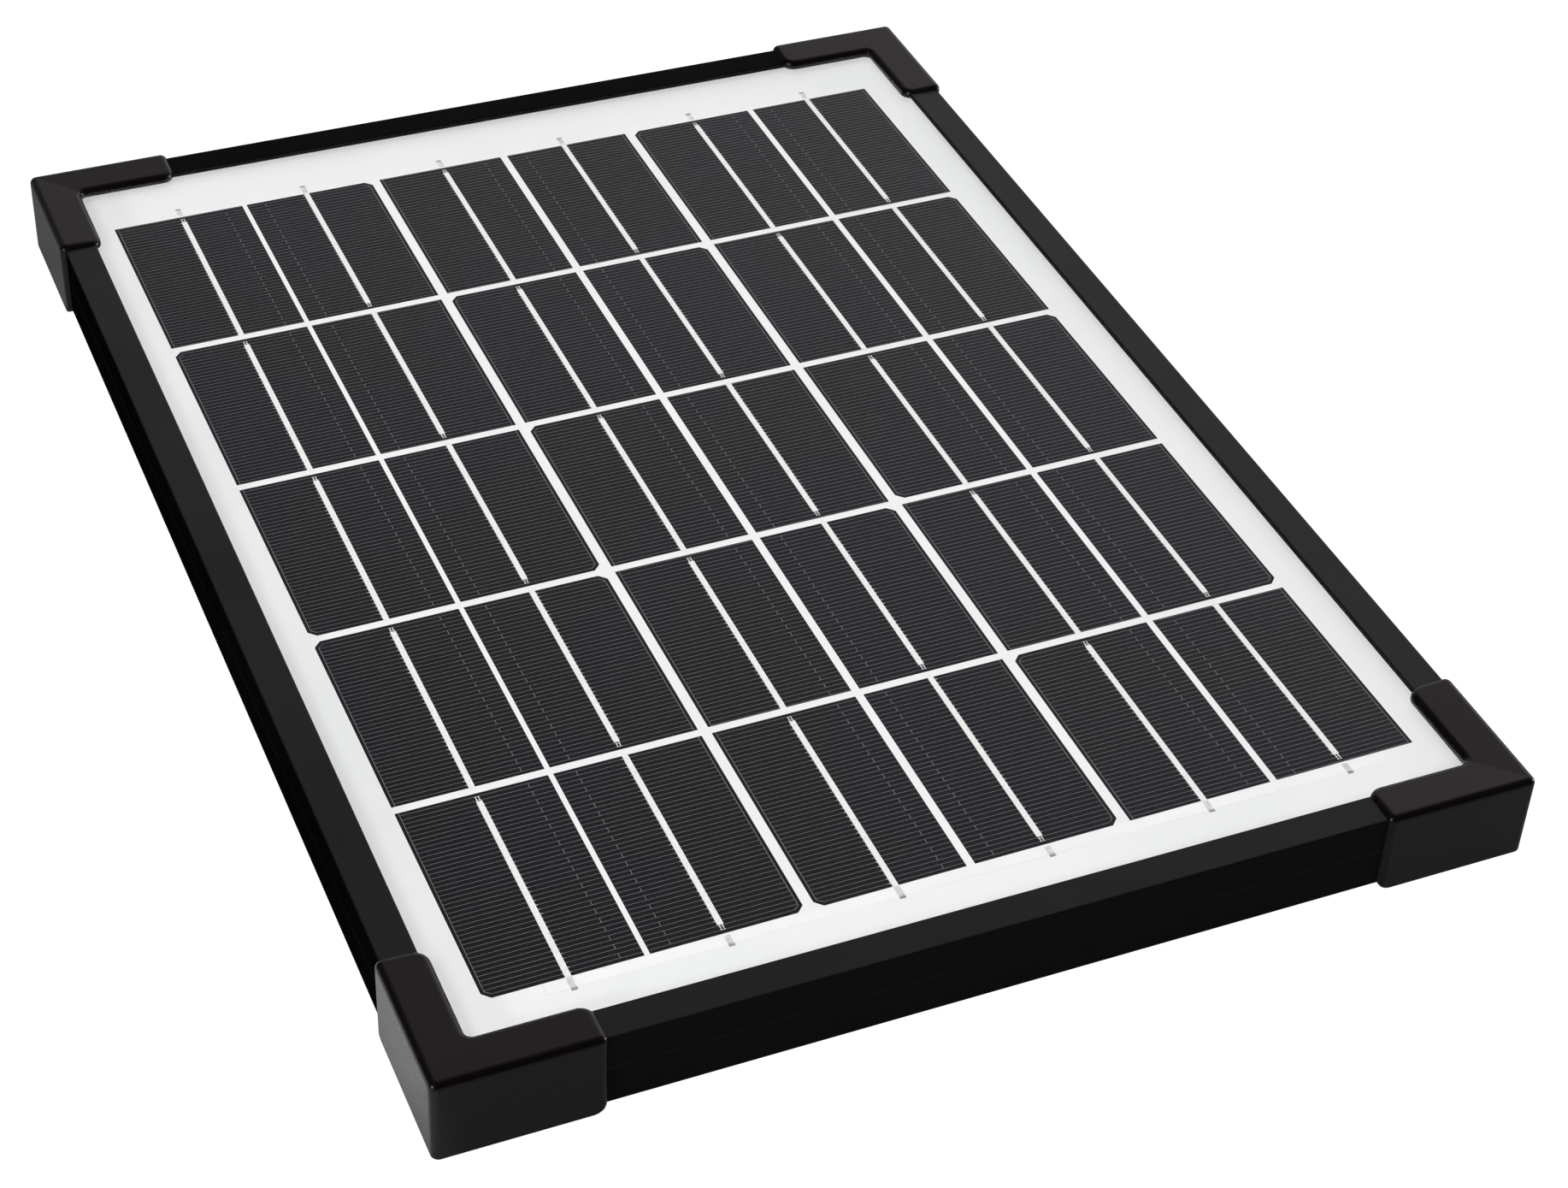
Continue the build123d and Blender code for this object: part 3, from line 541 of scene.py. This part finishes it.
# ---------------------------------------------------------------- cover glass
glass_low, glass_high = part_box("cover_glass")
film_low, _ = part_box("encapsulant_front")
pane = bmesh.new()
bmesh.ops.create_cube(pane, size=1.0)
pane_low = Vector((glass_low.x, glass_low.y, film_low.z + FILM_GAP * MM))
for vertex in pane.verts:
    for axis in range(3):
        vertex.co[axis] = glass_high[axis] if vertex.co[axis] > 0 else pane_low[axis]
top_edges = [edge for edge in pane.edges if all(vertex.co.z > glass_low.z for vertex in edge.verts)]
bmesh.ops.bevel(pane, geom=top_edges, offset=GLASS_EDGE * MM, segments=2, affect="EDGES")
pane_mesh = bpy.data.meshes.new("front_glass")
pane.to_mesh(pane_mesh)
pane.free()
pane_mesh.materials.append(glass)
front_glass = bpy.data.objects.new("front_glass", pane_mesh)
bpy.context.scene.collection.objects.link(front_glass)
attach(front_glass, "root")
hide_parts("cover_glass", "encapsulant_front")


# ---------------------------------------------------------------- studio
def softbox(name, place, size, watts, mirrored=True):
    """A square soft light, in metres, aimed at the panel. One that isn't mirrored shows in no reflection."""
    light = bpy.data.lights.new(name, "AREA")
    light.shape = "SQUARE"
    light.size = size
    light.energy = watts
    lamp = bpy.data.objects.new(name, light)
    lamp.location = place
    lamp.rotation_euler = (-Vector(place)).to_track_quat("-Z", "Y").to_euler()
    lamp.visible_glossy = mirrored
    bpy.context.scene.collection.objects.link(lamp)
    return lamp


softbox("key", place=(-1.0, -0.5, 1.5), size=0.7, watts=8, mirrored=False)
top_light = softbox("top", place=(0.15, 0.35, 1.9), size=1.4, watts=36, mirrored=False)
softbox("left_edge", place=(-1.1, -0.55, 0.5), size=0.12, watts=4)
softbox("right_edge", place=(1.3, -0.15, 0.12), size=0.12, watts=4)

world = bpy.data.worlds.new("studio")
world.use_nodes = True
nodes, links = world.node_tree.nodes, world.node_tree.links
around = nodes.new("ShaderNodeTexCoord")
parts = nodes.new("ShaderNodeSeparateXYZ")
links.new(around.outputs["Generated"], parts.inputs["Vector"])
behind = ramp(nodes, links, parts.outputs["Y"], ROOM_BEHIND)
slope = reach_along(nodes, links, around.outputs["Generated"], ROOM_SLOPE)
wall = calculate(nodes, links, "ADD", slope, ROOM_LEVEL, clamp=True)
glow = calculate(nodes, links, "MULTIPLY_ADD", wall, behind, ROOM_DIM)
links.new(glow, nodes["Background"].inputs["Strength"])
nodes["Background"].inputs["Color"].default_value = ROOM_COLOUR
bpy.context.scene.world = world

floor_mesh = bpy.data.meshes.new("floor")
floor_corners = [(x * FLOOR_HALF, y * FLOOR_HALF, 0) for x, y in ((-1, -1), (1, -1), (1, 1), (-1, 1))]
floor_mesh.from_pydata(floor_corners, [], [(0, 1, 2, 3)])
floor = bpy.data.objects.new("floor", floor_mesh)
bpy.context.scene.collection.objects.link(floor)
paper, nodes, links = new_material("pale_paper")
position = nodes.new("ShaderNodeTexCoord")
apart = nodes.new("ShaderNodeSeparateXYZ")
links.new(position.outputs["Object"], apart.inputs["Vector"])
left = ramp(nodes, links, apart.outputs["X"], CARD_SIDE, high=CARD_ALBEDO)
fades_back = ramp(nodes, links, apart.outputs["Y"], CARD_FADES_BACK)
fades_front = ramp(nodes, links, apart.outputs["Y"], CARD_FADES_FRONT, low=CARD_FRONT_SHARE)
length = calculate(nodes, links, "MULTIPLY", fades_back, fades_front)
card = calculate(nodes, links, "MULTIPLY_ADD", left, length, FLOOR_ALBEDO)
matt = nodes.new("ShaderNodeBsdfDiffuse")
links.new(card, matt.inputs["Color"])
shade = nodes.new("ShaderNodeBsdfDiffuse")
shade.inputs["Color"].default_value = (FLOOR_SHADE, FLOOR_SHADE, FLOOR_SHADE, 1)
lit = nodes.new("ShaderNodeEmission")
lit.inputs["Strength"].default_value = FLOOR_GLOW
both = nodes.new("ShaderNodeAddShader")
path = nodes.new("ShaderNodeLightPath")
switch = nodes.new("ShaderNodeMixShader")
links.new(shade.outputs["BSDF"], both.inputs[0])
links.new(lit.outputs["Emission"], both.inputs[1])
links.new(path.outputs["Is Camera Ray"], switch.inputs["Fac"])
links.new(matt.outputs["BSDF"], switch.inputs[1])
links.new(both.outputs["Shader"], switch.inputs[2])
show(nodes, links, switch.outputs["Shader"])
floor_mesh.materials.append(paper)

# The white film scatters light sideways in the glass, so it stays bright under the rails' lips. The top light stands
# for that: only the floor stops it, and the key light alone casts the rails' and caps' shadows.
blockers = bpy.data.collections.new("top_light_blockers")
blockers.objects.link(floor)
top_light.light_linking.blocker_collection = blockers

# ---------------------------------------------------------------- camera
camera_data = bpy.data.cameras.new("camera")
camera_data.lens = CAMERA_LENS
camera_data.sensor_width = CAMERA_SENSOR
camera_data.clip_start = 0.01
camera = bpy.data.objects.new("camera", camera_data)
camera.location = Vector(CAMERA_EYE) * MM
gaze = (Vector(CAMERA_TARGET) - Vector(CAMERA_EYE)).to_track_quat("-Z", "Y")
camera.rotation_mode = "QUATERNION"
camera.rotation_quaternion = gaze @ Quaternion((0, 0, 1), math.radians(CAMERA_ROLL))
bpy.context.scene.collection.objects.link(camera)
bpy.context.scene.camera = camera
bpy.context.scene.view_settings.view_transform = "Standard"
